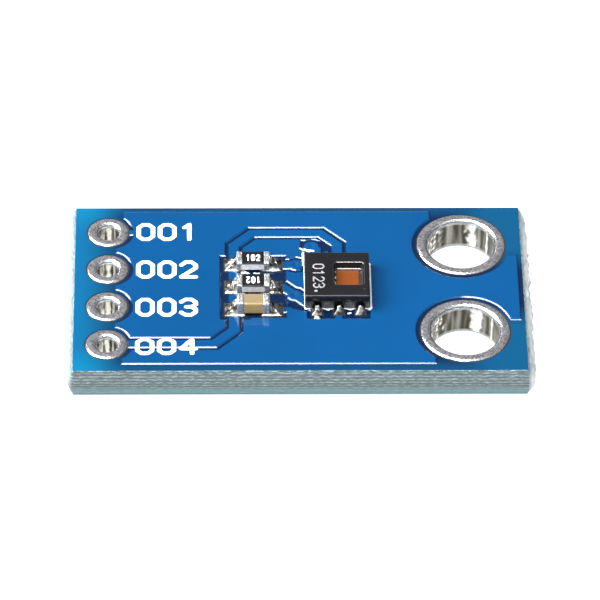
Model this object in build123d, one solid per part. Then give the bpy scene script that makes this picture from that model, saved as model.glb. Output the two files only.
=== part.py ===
"""Temperature and humidity sensor module: a small printed circuit board with its parts soldered on.

The board lies flat with the parts on top. X runs along its length, with the four header holes at
the left and the two screw holes at the right. Y runs towards the back, and Z is up. The origin is
under the middle of the board, on the surface that it rests on. All lengths are in millimetres.
"""

import os
from math import atan, degrees, radians, tan

from build123d import *

# Header holes: a row of four plated holes on the common 0.1 inch pitch
header_count = 4
header_pitch = 2.54
header_end_margin = 1.715
header_edge_margin = 1.53
header_ring_radius = 0.97
header_hole_radius = 0.48
header_clearance = 0.27

# Screw holes: two plated holes that pass an M3 screw
screw_to_header = 16.48
screw_edge_margin = 2.79
screw_spacing = 5.86
screw_ring_radius = 2.07
screw_hole_radius = 1.58
screw_clearance = 0.26

# Board blank: glass cloth laminate, scored on both faces along its edges and snapped out of a panel
core_thickness = 1.48
score_depth = 0.6
score_angle = 18.0

# Layers on each face of the blank
copper_thickness = 0.045
mask_thickness = 0.02
mask_slope = 0.1
mask_margin = 0.05
ink_thickness = 0.015

# Plating and tin of the holes: the tin rises to its crest at the rim, and dips into the bore
plating_thickness = 0.018
tin_crest = 0.085
tin_bevel = 0.16
tin_shoulder = 0.22
tin_dip = 0.12

# Copper drawing rules
track_width = 0.41
copper_gap = 0.25
spoke_width = 0.25
via_ring_radius = 0.33
via_drill_radius = 0.15
via_sides = 12

# Ground copper: how far its fill stands off the board's edges, the header row and the screw row
ground_margin_back = 0.325
ground_margin_front = 0.475
ground_margin_right = 0.25
ground_off_header = 0.77
ground_tip_off_header = 0.44
ground_off_screws = 1.46
ground_strip_depth = 4.3
ground_margin_below = 0.4

# Vias: how far they stand off the chip lands, the sensor's back left lead and the sensor's body
clock_via_off_land = 0.66
clock_pin_via_off_lead = 0.2
clock_pin_via_off_sensor = 1.25
data_via_off_land = 0.58
data_via_off_row = 0.54

# Supply track: where its runs pass the header hole, the left lands and the sensor, and how far its
# corners are cut back
supply_off_hole = 0.05
supply_off_lands = 0.05
supply_off_sensor = 2.19
supply_front_corner = 0.93
supply_back_corner = 0.84
supply_end_corner = 0.79

# Ground copper: its spokes, and the places round the sensor's clock via and beside its front leads
# that it can't reach
spoke_reach = 0.4
smallest_island = 0.1
via_bare_left = 0.55
via_bare_front = 0.35
via_bare_back = 0.5
wedge_bare_width = 0.6

# Chip lands: three parts side by side, each with a land at its left and its right
chip_row_x = -2.115
chip_row_y = 0.02
chip_pitch = 1.524
land_length = 1.0
land_width = 0.9
land_span = 2.67

# Chip resistors
resistor_length = 1.52
resistor_width = 0.84
resistor_height = 0.45
resistor_end_length = 0.26
resistor_plating = 0.03
resistor_glaze = 0.02
resistor_glaze_margin = 0.03

# Ceramic chip capacitor
capacitor_length = 1.5
capacitor_width = 0.76
capacitor_height = 0.7
capacitor_end_length = 0.33
capacitor_plating = 0.025
capacitor_corner = 0.07

# Sensor: a flat moulded package with three leads at its front edge and three at its back edge
sensor_x = 1.82
sensor_y = 0.05
sensor_shift = -0.06
sensor_size = 3.0
sensor_height = 0.75
lead_pitch = 1.0
lead_width = 0.4
lead_length = 0.4
lead_thickness = 0.2
lead_land_width = 0.5
lead_land_length = 0.85
lead_land_reach = 0.45
paddle_width = 2.3
paddle_depth = 1.5
window_width = 1.48
window_depth = 1.6
window_x = 0.57
window_y = 0.07
window_corner = 0.16
window_draft = 5.0
die_thickness = 0.17
die_overhang = 0.18
film_width = 1.05
film_depth = 1.31
film_x = 0.5
film_y = 0.015
film_thickness = 0.012

# Ink frame printed round the sensor
ink_frame_width = 3.2
ink_frame_depth = 3.05
ink_line = 0.12

# Solder
chip_standoff = 0.03
lead_standoff = 0.05
solder_inset = 0.03
solder_lip = 0.06
solder_climb = 0.75
solder_hollow_out = 0.38
solder_hollow_up = 0.34

# Levels, from the surface that the tin of the lower rings rests on
core_bottom = tin_crest
core_top = core_bottom + core_thickness
core_middle = core_bottom + core_thickness / 2
land_top = core_top + copper_thickness
mask_over_core = core_top + mask_thickness
mask_over_copper = land_top + mask_thickness
chip_seat = land_top + chip_standoff
sensor_seat = land_top + lead_standoff

# Sizes that follow from those above
board_width = header_edge_margin + screw_to_header + screw_edge_margin
board_depth = (header_count - 1) * header_pitch + 2 * header_end_margin
score_reach = score_depth * tan(radians(score_angle))
slope_angle = degrees(atan(mask_slope / copper_thickness))
header_x = header_edge_margin - board_width / 2
screw_x = header_x + screw_to_header

# Places that several pieces share
GROUND, CLOCK, DATA, SUPPLY = range(4)
header_points = [
    (header_x, ((header_count - 1) / 2 - i) * header_pitch) for i in range(header_count)
]
screw_points = [(screw_x, screw_spacing / 2), (screw_x, -screw_spacing / 2)]
chip_y = [chip_row_y + chip_pitch, chip_row_y, chip_row_y - chip_pitch]
left_land_x = chip_row_x - (land_span - land_length) / 2
right_land_x = chip_row_x + (land_span - land_length) / 2
land_end_x = right_land_x + land_length / 2
sensor_body_x = sensor_x + sensor_shift
lead_x = [sensor_x - lead_pitch, sensor_x, sensor_x + lead_pitch]
lead_land_offset = sensor_size / 2 + lead_land_reach - lead_land_length / 2
front_lead_y = sensor_y - lead_land_offset
back_lead_y = sensor_y + lead_land_offset
clock_via = (land_end_x + clock_via_off_land, chip_y[0])
clock_pin_via = (
    lead_x[0] - clock_pin_via_off_lead, sensor_y + sensor_size / 2 + clock_pin_via_off_sensor
)
data_via = (land_end_x + data_via_off_land, chip_y[1] - data_via_off_row)
via_points = [clock_via, clock_pin_via, data_via]


# Shapes of the copper drawing. Each is a function of the amount that it is grown by on every side,
# so that one drawing gives the copper, the gap round it and the mask over its edges.

def track(points, width=track_width):
    """A strip of one width through a list of points, with square ends and mitred corners."""
    stops = [Vector(*point) for point in points]
    runs = [(stop - start).normalized() for start, stop in zip(stops, stops[1:])]
    sides = [Vector(-run.Y, run.X) for run in runs]

    def outline(grow=0.0):
        half = width / 2 + grow
        middles = [stops[0] - runs[0] * grow, *stops[1:-1], stops[-1] + runs[-1] * grow]
        corners = [sides[0]]
        corners += [(a + b) * (1 / (1 + a.dot(b))) for a, b in zip(sides, sides[1:])]
        corners += [sides[-1]]
        right = [middle - corner * half for middle, corner in zip(middles, corners)]
        left = [middle + corner * half for middle, corner in zip(middles, corners)]
        return make_face(Polyline(*right, *reversed(left), close=True))

    return outline


def pad(x, y, length, width):
    """A rectangle about its middle."""
    return lambda grow=0.0: Pos(x, y) * Rectangle(length + 2 * grow, width + 2 * grow)


def block(x0, y0, x1, y1):
    """A rectangle between two corners."""
    return pad((x0 + x1) / 2, (y0 + y1) / 2, x1 - x0, y1 - y0)


def dot(centre, radius):
    """A round pad."""
    return lambda grow=0.0: Pos(*centre) * Circle(radius + grow)


def small_dot(centre, radius):
    """A small round pad that the mask covers, with few sides."""
    return lambda grow=0.0: Pos(*centre) * RegularPolygon(radius + grow, via_sides)


def drawn(shapes, grow=0.0):
    """The outline of some shapes together."""
    return Sketch() + [shape(grow) for shape in shapes]


def slab(outline, bottom, top):
    """A flat plate of an outline between two levels."""
    return Pos(0, 0, bottom) * extrude(outline, top - bottom)


def mounds(shapes):
    """Mask that rises over the edges of raised copper."""
    return [
        Pos(0, 0, mask_over_core) * extrude(shape(mask_slope), copper_thickness, taper=slope_angle)
        for shape in shapes
    ]


def pits(shapes, gap):
    """Room in the mask over a fill, where its copper stands back from other copper by a gap."""
    return [
        Pos(0, 0, mask_over_copper)
        * mirror(extrude(shape(gap), copper_thickness, taper=slope_angle), Plane.XY)
        for shape in shapes
    ]


def below(part):
    """A piece of the top face, turned over onto the bottom face."""
    return mirror(part, Plane.XY.offset(core_middle))


# Copper drawing of the top face

def lead_land(x, y):
    return pad(x, y, lead_land_width, lead_land_length)


def supply_tracks():
    """From its header hole along the front, up past the left lands, and round the back to the sensor."""
    front_run_y = header_points[SUPPLY][1] + supply_off_hole
    back_run_y = sensor_y + sensor_size / 2 + supply_off_sensor
    riser_x = left_land_x - supply_off_lands
    end_x = lead_x[1]
    return [
        track([
            (header_x, front_run_y),
            (riser_x - supply_front_corner, front_run_y),
            (riser_x, front_run_y + supply_front_corner),
            (riser_x, back_run_y - supply_back_corner),
            (riser_x + supply_back_corner, back_run_y),
            (end_x - supply_end_corner, back_run_y),
            (end_x, back_run_y - supply_end_corner),
            (end_x, back_lead_y),
        ])
    ]


def supply_lands():
    return [pad(left_land_x, y, land_length, land_width) for y in chip_y] + [
        lead_land(lead_x[1], back_lead_y)
    ]


def clock_tracks():
    """From the upper resistor to its via."""
    return [track([(right_land_x, clock_via[1]), clock_via]), small_dot(clock_via, via_ring_radius)]


def clock_lands():
    return [pad(right_land_x, chip_y[0], land_length, land_width)]


def clock_pin_tracks():
    """From the sensor's back left land to its via."""
    knee = (lead_x[0], clock_pin_via[1] - (lead_x[0] - clock_pin_via[0]))
    run = track([clock_pin_via, knee, (lead_x[0], back_lead_y)])
    return [run, small_dot(clock_pin_via, via_ring_radius)]


def clock_pin_lands():
    return [lead_land(lead_x[0], back_lead_y)]


def data_tracks():
    """From the middle chip part past its via to the sensor's front left land."""
    turn = (data_via[0] - (chip_y[1] - data_via[1]), chip_y[1])
    end = (lead_x[0], data_via[1] - (lead_x[0] - data_via[0]))
    run = track([(right_land_x, chip_y[1]), turn, end])
    return [run, small_dot(data_via, via_ring_radius)]


def data_lands():
    return [
        pad(right_land_x, chip_y[1], land_length, land_width),
        lead_land(lead_x[0], front_lead_y),
    ]


def spare_lands():
    """Lands of the two leads that connect to nothing."""
    return [lead_land(lead_x[2], front_lead_y), lead_land(lead_x[2], back_lead_y)]


def ground_lands():
    """Lands that reach the ground copper through spokes."""
    return [
        pad(right_land_x, chip_y[2], land_length, land_width),
        lead_land(lead_x[1], front_lead_y),
    ]


def ground_spokes():
    """Short strips that join the fill to its own lands and to its header ring."""
    x, y = header_points[GROUND]
    land_front = front_lead_y - lead_land_length / 2
    return [
        track([(x, y), (x + header_ring_radius + spoke_reach, y)], spoke_width),
        track([(right_land_x, chip_y[2]), (land_end_x + spoke_reach, chip_y[2])], spoke_width),
        track([(lead_x[1], front_lead_y), (lead_x[1], land_front - spoke_reach)], spoke_width),
    ]


def ground_fill():
    """The blocks that the ground copper fills."""
    back = board_depth / 2 - ground_margin_back
    front = ground_margin_front - board_depth / 2
    right = board_width / 2 - ground_margin_right
    block_left = header_x + ground_off_header
    block_right = screw_x - ground_off_screws
    tips_left = header_x + ground_tip_off_header
    strip = ground_strip_depth / 2
    return [
        block(block_left, front, block_right, back),
        block(tips_left, header_points[SUPPLY][1], left_land_x, header_points[GROUND][1]),
        block(lead_x[2], -strip, right, strip),
    ]


def bare_areas():
    """Places that the ground copper can't reach between other copper, or is kept out of."""
    chip_left = left_land_x - land_length / 2 - copper_gap
    chip_right = land_end_x + copper_gap
    chip_back = chip_y[0] + land_width / 2 + copper_gap
    chip_front = chip_y[2] - land_width / 2 - copper_gap / 2
    lead_left = lead_x[0] - lead_land_width / 2 - copper_gap
    lead_right = lead_x[2] + lead_land_width / 2 + copper_gap
    outer = sensor_size / 2 + lead_land_reach + copper_gap
    inner = paddle_depth / 2 + copper_gap
    via_x, via_y = clock_pin_via
    wedge_start = (land_end_x + copper_gap, chip_y[2] + land_width / 2)
    wedge_end = (lead_left + copper_gap, front_lead_y)
    return [
        block(chip_left, chip_front, chip_right, chip_back),
        block(lead_left, sensor_y - outer, lead_right, sensor_y - inner),
        block(lead_left, sensor_y + inner, lead_right, sensor_y + outer),
        block(via_x - via_bare_left, via_y - via_bare_front, lead_x[1], via_y + via_bare_back),
        track([wedge_start, wedge_end], wedge_bare_width),
    ]


# Copper drawing of the bottom face, where two tracks cross to their header holes

def clock_tracks_below():
    """From the sensor's via past the resistor's via to the header."""
    x, y = clock_via
    step = y - header_points[CLOCK][1]
    turn = (x, clock_pin_via[1] - (clock_pin_via[0] - x))
    return [
        track([clock_pin_via, turn, clock_via]),
        track([clock_via, (x - step, y - step), header_points[CLOCK]]),
        small_dot(clock_via, via_ring_radius),
        small_dot(clock_pin_via, via_ring_radius),
    ]


def data_tracks_below():
    """From its via to the header."""
    step = data_via[1] - header_points[DATA][1]
    turn = (data_via[0] - step, header_points[DATA][1])
    return [track([data_via, turn, header_points[DATA]]), small_dot(data_via, via_ring_radius)]


def ground_spokes_below():
    """The strip that joins the fill to its header ring."""
    reach = header_ring_radius + 2 * header_clearance
    x, y = header_points[GROUND]
    return [track([(x, y), (x + reach, y)], spoke_width)]


def ground_fill_below():
    """One block between the header row and the screw row."""
    left = header_x + header_ring_radius + header_clearance
    right = screw_x - screw_ring_radius - screw_clearance
    back = board_depth / 2 - ground_margin_below
    return [block(left, -back, right, back)]


# Board pieces

def drills(bottom, top):
    """The bores of the header, the screws and the vias, between two levels."""
    bores = [dot(point, header_hole_radius + plating_thickness) for point in header_points]
    bores += [dot(point, screw_hole_radius + plating_thickness) for point in screw_points]
    bores += [small_dot(point, via_drill_radius) for point in via_points]
    return slab(drawn(bores), bottom, top)


def laminate_core():
    """The blank. Its edges lean out from both faces to the web that was snapped."""
    def scored(width, length):
        face = width / 2
        web = face + score_reach
        outline = Polyline(
            (-face, core_bottom),
            (face, core_bottom),
            (web, core_bottom + score_depth),
            (web, core_top - score_depth),
            (face, core_top),
            (-face, core_top),
            (-web, core_top - score_depth),
            (-web, core_bottom + score_depth),
            close=True,
        )
        return extrude(Plane.XZ * make_face(outline), length, both=True)

    lengthwise = scored(board_width, board_depth)
    crosswise = Rot(0, 0, 90) * scored(board_depth, board_width)
    return (lengthwise & crosswise) - drills(core_bottom, core_top)


def rings(grow=0.0):
    """The round copper of the header holes and the screw holes, grown by an amount."""
    header_rings = [dot(point, header_ring_radius) for point in header_points]
    screw_rings = [dot(point, screw_ring_radius) for point in screw_points]
    return drawn(header_rings + screw_rings, grow)


def foil(shapes):
    """Copper of one outline on the top face, up to the rings that it meets."""
    return slab(drawn(shapes) - rings(), core_top, land_top)


def fill_foil(fill, others, bare, spokes):
    """Ground copper: its blocks, less the gaps round other copper, with spokes to its own lands.

    Islands too small to etch well are left out.
    """
    outline = drawn(fill) - drawn(others, copper_gap) - drawn(bare) + drawn(spokes) - rings()
    islands = [face for face in outline.faces() if face.area > smallest_island]
    return slab(Sketch() + islands, core_top, land_top)


def ring_gaps():
    """The round gaps about the header rings and the screw rings."""
    gaps = [dot(point, header_ring_radius + header_clearance) for point in header_points]
    return gaps + [dot(point, screw_ring_radius + screw_clearance) for point in screw_points]


def mask(fill, others, bare, tracks, lands, foils):
    """Mask on the top face: a film that rises over the copper, with openings over lands and rings."""
    film = slab(Rectangle(board_width, board_depth), core_top, mask_over_core)
    film += mounds(fill)
    film -= pits(others, copper_gap) + pits(bare, 0.0)
    film += mounds(tracks)
    openings = rings(mask_margin)
    if lands:
        openings += drawn(lands, mask_margin)
    return film - slab(openings, core_top, mask_over_copper) - foils


def plated_hole(hole_radius, ring_radius):
    """A plated bore with a tinned ring on each face. The tin slopes to its rim and into the bore."""
    crest = core_top + tin_crest
    wall = hole_radius + plating_thickness
    upper = [
        (ring_radius, core_top),
        (ring_radius - tin_bevel, crest),
        (hole_radius + tin_shoulder, crest),
        (hole_radius, crest - tin_dip),
    ]
    lower = [(radius, 2 * core_middle - level) for radius, level in reversed(upper)]
    section = Polyline((wall, core_top), *upper, *lower, (wall, core_bottom), close=True)
    return revolve(Plane.XZ * make_face(section), Axis.Z)


def via_barrels():
    """The copper that fills the small covered holes, from foil to foil."""
    rods = [small_dot(point, via_drill_radius) for point in via_points]
    return slab(drawn(rods), core_bottom, core_top)


def ink_frame(mask_top):
    """Ink on the mask: lines at both sides of the sensor and along its front edge."""
    outer = Pos(sensor_x, sensor_y) * Rectangle(ink_frame_width, ink_frame_depth)
    inner = Pos(sensor_x, sensor_y + ink_line) * Rectangle(
        ink_frame_width - 2 * ink_line, ink_frame_depth
    )
    room = slab(outer - inner, core_top, mask_over_copper + ink_thickness)
    return ((Pos(0, 0, ink_thickness) * mask_top) & room) - mask_top


# Chip parts

def resistor(place):
    """Body, overglaze and wrap-round ends of a chip resistor."""
    lift = resistor_plating
    body_length = resistor_length - 2 * lift
    body_height = resistor_height - 2 * lift
    middle = resistor_height / 2
    body = Pos(0, 0, middle) * Box(body_length, resistor_width, body_height)
    glaze_length = resistor_length - 2 * resistor_end_length
    glaze_width = resistor_width - 2 * resistor_glaze_margin
    glaze_level = middle + body_height / 2 + resistor_glaze / 2
    glaze = Pos(0, 0, glaze_level) * Box(glaze_length, glaze_width, resistor_glaze)
    shell = Pos(0, 0, middle) * Box(resistor_length, resistor_width, resistor_height)
    gap = Pos(0, 0, middle) * Box(glaze_length, resistor_width, resistor_height)
    ends = shell - gap - body
    return place * body, place * glaze, place * ends


def capacitor(place):
    """Body and five-sided end caps of a ceramic chip capacitor, with its edges tumbled off."""
    def tumbled(shrink):
        size = [capacitor_length, capacitor_width, capacitor_height]
        blank = Box(*[side - 2 * shrink for side in size])
        return chamfer(blank.edges(), capacitor_corner)

    lift = Pos(0, 0, capacitor_height / 2)
    body = lift * tumbled(capacitor_plating)
    gap_length = capacitor_length - 2 * capacitor_end_length
    gap = lift * Box(gap_length, 2 * capacitor_width, 2 * capacitor_height)
    ends = lift * tumbled(0.0) - gap - body
    return place * body, place * ends


def solder_joint(inner, face, outer, standoff, height, width):
    """Solder under an end and up its face. It faces +X, with its foot on the land."""
    climb = standoff + height * solder_climb
    hollow = ((outer - face) * solder_hollow_out, (climb - solder_lip) * solder_hollow_up)
    outline = (
        Polyline((face, climb), (face, standoff), (inner, standoff), (inner, 0), (outer, 0))
        + Line((outer, 0), (outer, solder_lip))
        + ThreePointArc(
            (outer, solder_lip), (face + hollow[0], solder_lip + hollow[1]), (face, climb)
        )
    )
    return extrude(Plane.XZ * make_face(outline), width / 2, both=True)


def chip_solder(y, length, end_length, width, height):
    joint = solder_joint(
        length / 2 - end_length, length / 2, land_span / 2 - solder_inset, chip_standoff, height, width
    )
    place = Pos(chip_row_x, y, land_top)
    return place * joint + place * Rot(0, 0, 180) * joint


# Sensor

def sensor_parts():
    """Moulded body with its window, the die and its film, the paddle and the leads."""
    place = Pos(sensor_body_x, sensor_y, sensor_seat)
    window_place = Pos(window_x, window_y)
    lead_y = sensor_size / 2 - lead_length / 2
    lead = Box(lead_width, lead_length, lead_thickness, align=(Align.CENTER, Align.CENTER, Align.MIN))
    spots = [Pos(x - sensor_body_x, y) for x in lead_x for y in (-lead_y, lead_y)]
    leads = Part() + [spot * lead for spot in spots]
    paddle = slab(Rectangle(paddle_width, paddle_depth), 0, lead_thickness)
    die_top = lead_thickness + die_thickness
    die_outline = Rectangle(window_width + 2 * die_overhang, window_depth + 2 * die_overhang)
    die = slab(window_place * die_outline, lead_thickness, die_top)
    film_outline = Pos(film_x, film_y) * Rectangle(film_width, film_depth)
    film = slab(film_outline, die_top, die_top + film_thickness)
    drop = sensor_height - die_top
    taper = 2 * drop * tan(radians(window_draft))
    mouth = RectangleRounded(window_width, window_depth, window_corner)
    floor = RectangleRounded(window_width - taper, window_depth - taper, window_corner)
    window = window_place * loft([Pos(0, 0, die_top) * floor, Pos(0, 0, sensor_height) * mouth])
    body = slab(Rectangle(sensor_size, sensor_size), 0, sensor_height)
    body = body - leads - paddle - die - window
    return place * body, place * die, place * film, place * paddle, place * leads


def sensor_solder():
    """A joint at each lead, wetting the land and the lead's cut end."""
    width = lead_land_width - 2 * solder_inset
    reach = lead_land_offset + lead_land_length / 2 - solder_inset
    joint = solder_joint(
        sensor_size / 2 - lead_length, sensor_size / 2, reach, lead_standoff, lead_thickness, width
    )
    turns = [(x, turn) for x in lead_x for turn in (-90, 90)]
    return Part() + [Pos(x, sensor_y, land_top) * Rot(0, 0, turn) * joint for x, turn in turns]


def build():
    """Every piece, by name."""
    tracks = supply_tracks() + clock_tracks() + clock_pin_tracks() + data_tracks()
    lands = supply_lands() + clock_lands() + clock_pin_lands() + data_lands() + spare_lands()
    bare = bare_areas() + ring_gaps()
    foils = {
        "ground_copper_top": fill_foil(
            ground_fill(), tracks + lands, bare, ground_spokes() + ground_lands()
        ),
        "supply_copper_top": foil(supply_tracks() + supply_lands()),
        "clock_copper_top": foil(clock_tracks() + clock_lands()),
        "clock_pin_copper_top": foil(clock_pin_tracks() + clock_pin_lands()),
        "data_copper_top": foil(data_tracks() + data_lands()),
        "spare_lands_top": foil(spare_lands()),
    }
    tracks_below = clock_tracks_below() + data_tracks_below()
    foils_below = {
        "ground_copper_bottom": fill_foil(
            ground_fill_below(), tracks_below, [], ground_spokes_below()
        ),
        "clock_copper_bottom": foil(clock_tracks_below()),
        "data_copper_bottom": foil(data_tracks_below()),
    }
    mask_top = mask(
        ground_fill(), tracks + lands, bare, tracks + ground_spokes(),
        lands + ground_lands(), list(foils.values()),
    )
    mask_bottom = mask(
        ground_fill_below(), tracks_below, [], tracks_below + ground_spokes_below(),
        [], list(foils_below.values()),
    )
    pieces = {"laminate_core": laminate_core(), **foils}
    pieces.update({name: below(piece) for name, piece in foils_below.items()})
    pieces["solder_mask_top"] = mask_top
    pieces["solder_mask_bottom"] = below(mask_bottom)
    pieces["ink_frame"] = ink_frame(mask_top)
    pieces["via_barrels"] = via_barrels()
    header_hole = plated_hole(header_hole_radius, header_ring_radius)
    header_names = ["ground", "clock", "data", "supply"]
    for name, point in zip(header_names, header_points):
        pieces[f"header_barrel_{name}"] = Pos(*point) * header_hole
    screw_hole = plated_hole(screw_hole_radius, screw_ring_radius)
    for name, point in zip(["back", "front"], screw_points):
        pieces[f"screw_barrel_{name}"] = Pos(*point) * screw_hole
    for name, y in zip(["clock", "data"], chip_y):
        body, glaze, ends = resistor(Pos(chip_row_x, y, chip_seat))
        pieces[f"{name}_resistor_body"] = body
        pieces[f"{name}_resistor_glaze"] = glaze
        pieces[f"{name}_resistor_ends"] = ends
        pieces[f"{name}_resistor_solder"] = chip_solder(
            y, resistor_length, resistor_end_length, resistor_width - 2 * solder_inset, resistor_height
        )
    body, ends = capacitor(Pos(chip_row_x, chip_y[2], chip_seat))
    pieces["capacitor_body"] = body
    pieces["capacitor_ends"] = ends
    pieces["capacitor_solder"] = chip_solder(
        chip_y[2], capacitor_length, capacitor_end_length,
        capacitor_width - 2 * solder_inset, capacitor_height,
    )
    names = ["sensor_body", "sensor_die", "sensor_film", "sensor_paddle", "sensor_leads"]
    pieces.update(zip(names, sensor_parts()))
    pieces["sensor_solder"] = sensor_solder()
    return pieces


os.makedirs("parts", exist_ok=True)
for name, piece in build().items():
    export_step(piece, f"parts/{name}.step")
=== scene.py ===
"""Looks of the temperature and humidity sensor module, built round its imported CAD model."""
import math

import bpy
import numpy as np
from mathutils import Matrix, Vector, geometry, noise
from mathutils.bvhtree import BVHTree


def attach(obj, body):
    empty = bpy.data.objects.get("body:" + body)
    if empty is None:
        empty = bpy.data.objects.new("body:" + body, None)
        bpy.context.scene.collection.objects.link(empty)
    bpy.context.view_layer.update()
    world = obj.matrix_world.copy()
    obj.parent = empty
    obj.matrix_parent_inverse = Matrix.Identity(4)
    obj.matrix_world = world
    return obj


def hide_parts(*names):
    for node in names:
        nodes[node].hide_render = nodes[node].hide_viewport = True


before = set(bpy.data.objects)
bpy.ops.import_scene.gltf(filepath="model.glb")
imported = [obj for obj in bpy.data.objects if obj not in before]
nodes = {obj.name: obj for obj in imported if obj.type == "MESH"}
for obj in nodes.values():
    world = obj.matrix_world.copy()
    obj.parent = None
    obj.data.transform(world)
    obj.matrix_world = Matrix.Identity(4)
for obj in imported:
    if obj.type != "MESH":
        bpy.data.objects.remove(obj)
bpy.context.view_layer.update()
scene = bpy.context.scene


# Photo table ------------------------------------------------------------------------------------
# The module lies on white acrylic that is lit from below. A long strip softbox hangs over it,
# behind and to the left, a panel stands at its left, and the room is pale in front and dim behind.
# The camera looks from the front at 43 degrees, through a long lens.

MM = 0.001


def srgb(code):
    """A colour written as sRGB hex, turned to linear."""
    values = [int(code[i:i + 2], 16) / 255 for i in (0, 2, 4)]
    linear = [v / 12.92 if v <= 0.04045 else ((v + 0.055) / 1.055) ** 2.4 for v in values]
    return (*linear, 1.0)


def link(source, socket):
    """Link an output to a socket, or of a node the first output that it has in use."""
    if isinstance(source, bpy.types.Node):
        source = next(output for output in source.outputs if output.enabled)
    socket.id_data.links.new(source, socket)


def add(tree, kind, inputs=None, **settings):
    """Add a node with its settings. An input is a value, or an output or a node to link."""
    node = tree.nodes.new("ShaderNode" + kind)
    for name, value in settings.items():
        setattr(node, name, value)
    for socket, value in (inputs or {}).items():
        if isinstance(value, (bpy.types.NodeSocket, bpy.types.Node)):
            link(value, node.inputs[socket])
        else:
            node.inputs[socket].default_value = value
    return node


def new_material(name, **values):
    """A material with constant values on its shader's own sockets."""
    material = bpy.data.materials.new(name)
    material.use_nodes = True
    shader = material.node_tree.nodes["Principled BSDF"]
    for socket, value in values.items():
        shader.inputs[socket.replace("_", " ")].default_value = value
    return material, material.node_tree, shader


def new_piece(name, points, faces, material):
    """A smooth mesh from points in millimetres."""
    mesh = bpy.data.meshes.new(name)
    mesh.from_pydata([Vector(p) * MM for p in points], [], [tuple(f) for f in faces])
    mesh.polygons.foreach_set("use_smooth", [True] * len(mesh.polygons))
    mesh.materials.append(material)
    mesh.update()
    piece = bpy.data.objects.new(name, mesh)
    scene.collection.objects.link(piece)
    return piece


# Light from below leaves it pure white, with a faint cloud of 60 mm in the sheet
acrylic, tree, shader = new_material(
    "Opal acrylic", Base_Color=srgb("7c7c7c"), Roughness=0.6, Emission_Strength=1.0)
cloud = add(tree, "TexNoise", {"Scale": 1 / (60 * MM), "Detail": 2.0})
tint = add(tree, "ValToRGB", {"Fac": cloud})
tint.color_ramp.elements[0].color = srgb("fbfbfa")
tint.color_ramp.elements[1].color = srgb("ffffff")
link(tint, shader.inputs["Emission Color"])

table_reach = 1500
table_corners = [(-1, -1), (1, -1), (1, 1), (-1, 1)]
floor = new_piece("table_top", [(x * table_reach, y * table_reach, 0) for x, y in table_corners],
                  [(0, 1, 2, 3)], acrylic)

softboxes = {
    # Middle in metres, where it faces, the direction of its long side, length, width, radiance
    "strip_softbox": ((-0.581, 0.229, 1.0), (0, 0, -1), (-0.794, 0.608, 0), 1.6, 0.21, 27.0),
    "left_panel": ((-1.0, 0.05, 0.72), (1.0, -0.05, -0.72), (0, 1, 0), 0.8, 0.55, 17.0),
}
for name, (middle, facing, long_side, length, width, radiance) in softboxes.items():
    softbox = bpy.data.lights.new(name, "AREA")
    softbox.shape = "RECTANGLE"
    softbox.size, softbox.size_y = length, width
    softbox.energy = radiance * math.pi * length * width
    stand = bpy.data.objects.new(name, softbox)
    back, long_side = -Vector(facing).normalized(), Vector(long_side)
    turn = Matrix((long_side, back.cross(long_side), back)).transposed().to_4x4()
    stand.matrix_world = Matrix.Translation(middle) @ turn
    scene.collection.objects.link(stand)

scene.world = bpy.data.worlds.new("studio_room")
scene.world.use_nodes = True
tree = scene.world.node_tree
room = tree.nodes["Background"]
room.inputs["Color"].default_value = srgb("e9edf2")
toward = add(tree, "SeparateXYZ", {"Vector": add(tree, "TexCoord").outputs["Generated"]})
pale_front = add(tree, "MapRange", {"Value": toward.outputs["Y"], "From Min": 0.3,
                                    "From Max": -0.4, "To Min": 0.17, "To Max": 1.1},
                 interpolation_type="SMOOTHSTEP")
link(pale_front, room.inputs["Strength"])
scene.view_settings.view_transform = "Standard"

azimuth, elevation, roll = (math.radians(angle) for angle in (-1.4045, 42.9613, 0.8438))
target = Vector((0.0601, 0.0079, 0.8)) * MM
camera_distance = 246.889 * MM
behind = Vector((
    math.sin(azimuth) * math.cos(elevation),
    -math.cos(azimuth) * math.cos(elevation),
    math.sin(elevation),
))
level = Vector((0, 0, 1)).cross(behind).normalized()
upward = behind.cross(level)
camera_right = math.cos(roll) * level + math.sin(roll) * upward
camera_up = math.cos(roll) * upward - math.sin(roll) * level
lens = bpy.data.cameras.new("camera")
lens.lens, lens.sensor_width = 319.0, 36.0
camera = bpy.data.objects.new("camera", lens)
turn = Matrix((camera_right, camera_up, behind)).transposed().to_4x4()
camera.matrix_world = Matrix.Translation(target + behind * camera_distance) @ turn
scene.collection.objects.link(camera)
scene.camera = camera


# Laminate ---------------------------------------------------------------------------------------
# The board blank: layers of woven glass cloth pressed with epoxy, scored on both faces and snapped
# out of a panel. The score leaves a slope at each face, and the web between tears rough.

board_width, board_depth = 20.8, 11.05
core_bottom, core_top = 0.085, 1.565
core_middle = (core_bottom + core_top) / 2
score_depth = 0.6
header_x, screw_x = -8.87, 7.61
header_y = {"ground": 3.81, "clock": 1.27, "data": -1.27, "supply": -3.81}
screw_y = {"back": 2.93, "front": -2.93}
header_drill, screw_drill = 0.498, 1.598


def wobble(points, grain, seed, detail=3):
    """Smooth noise from -1 to 1 at each point, with its grain in millimetres along each axis."""
    grain = np.broadcast_to(np.array(grain, float), (3,))
    shift = np.array([17.3, 5.1, 29.7]) * seed
    places = np.asarray(points, float) / grain + shift
    return np.array([noise.fractal(Vector(p), 1.0, 2.0, detail) for p in places])


laminate, tree, shader = new_material("Snapped glass epoxy laminate", Roughness=0.55, IOR=1.53)
place = add(tree, "TexCoord").outputs["Object"]
parts = add(tree, "SeparateXYZ", {"Vector": place}).outputs
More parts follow.
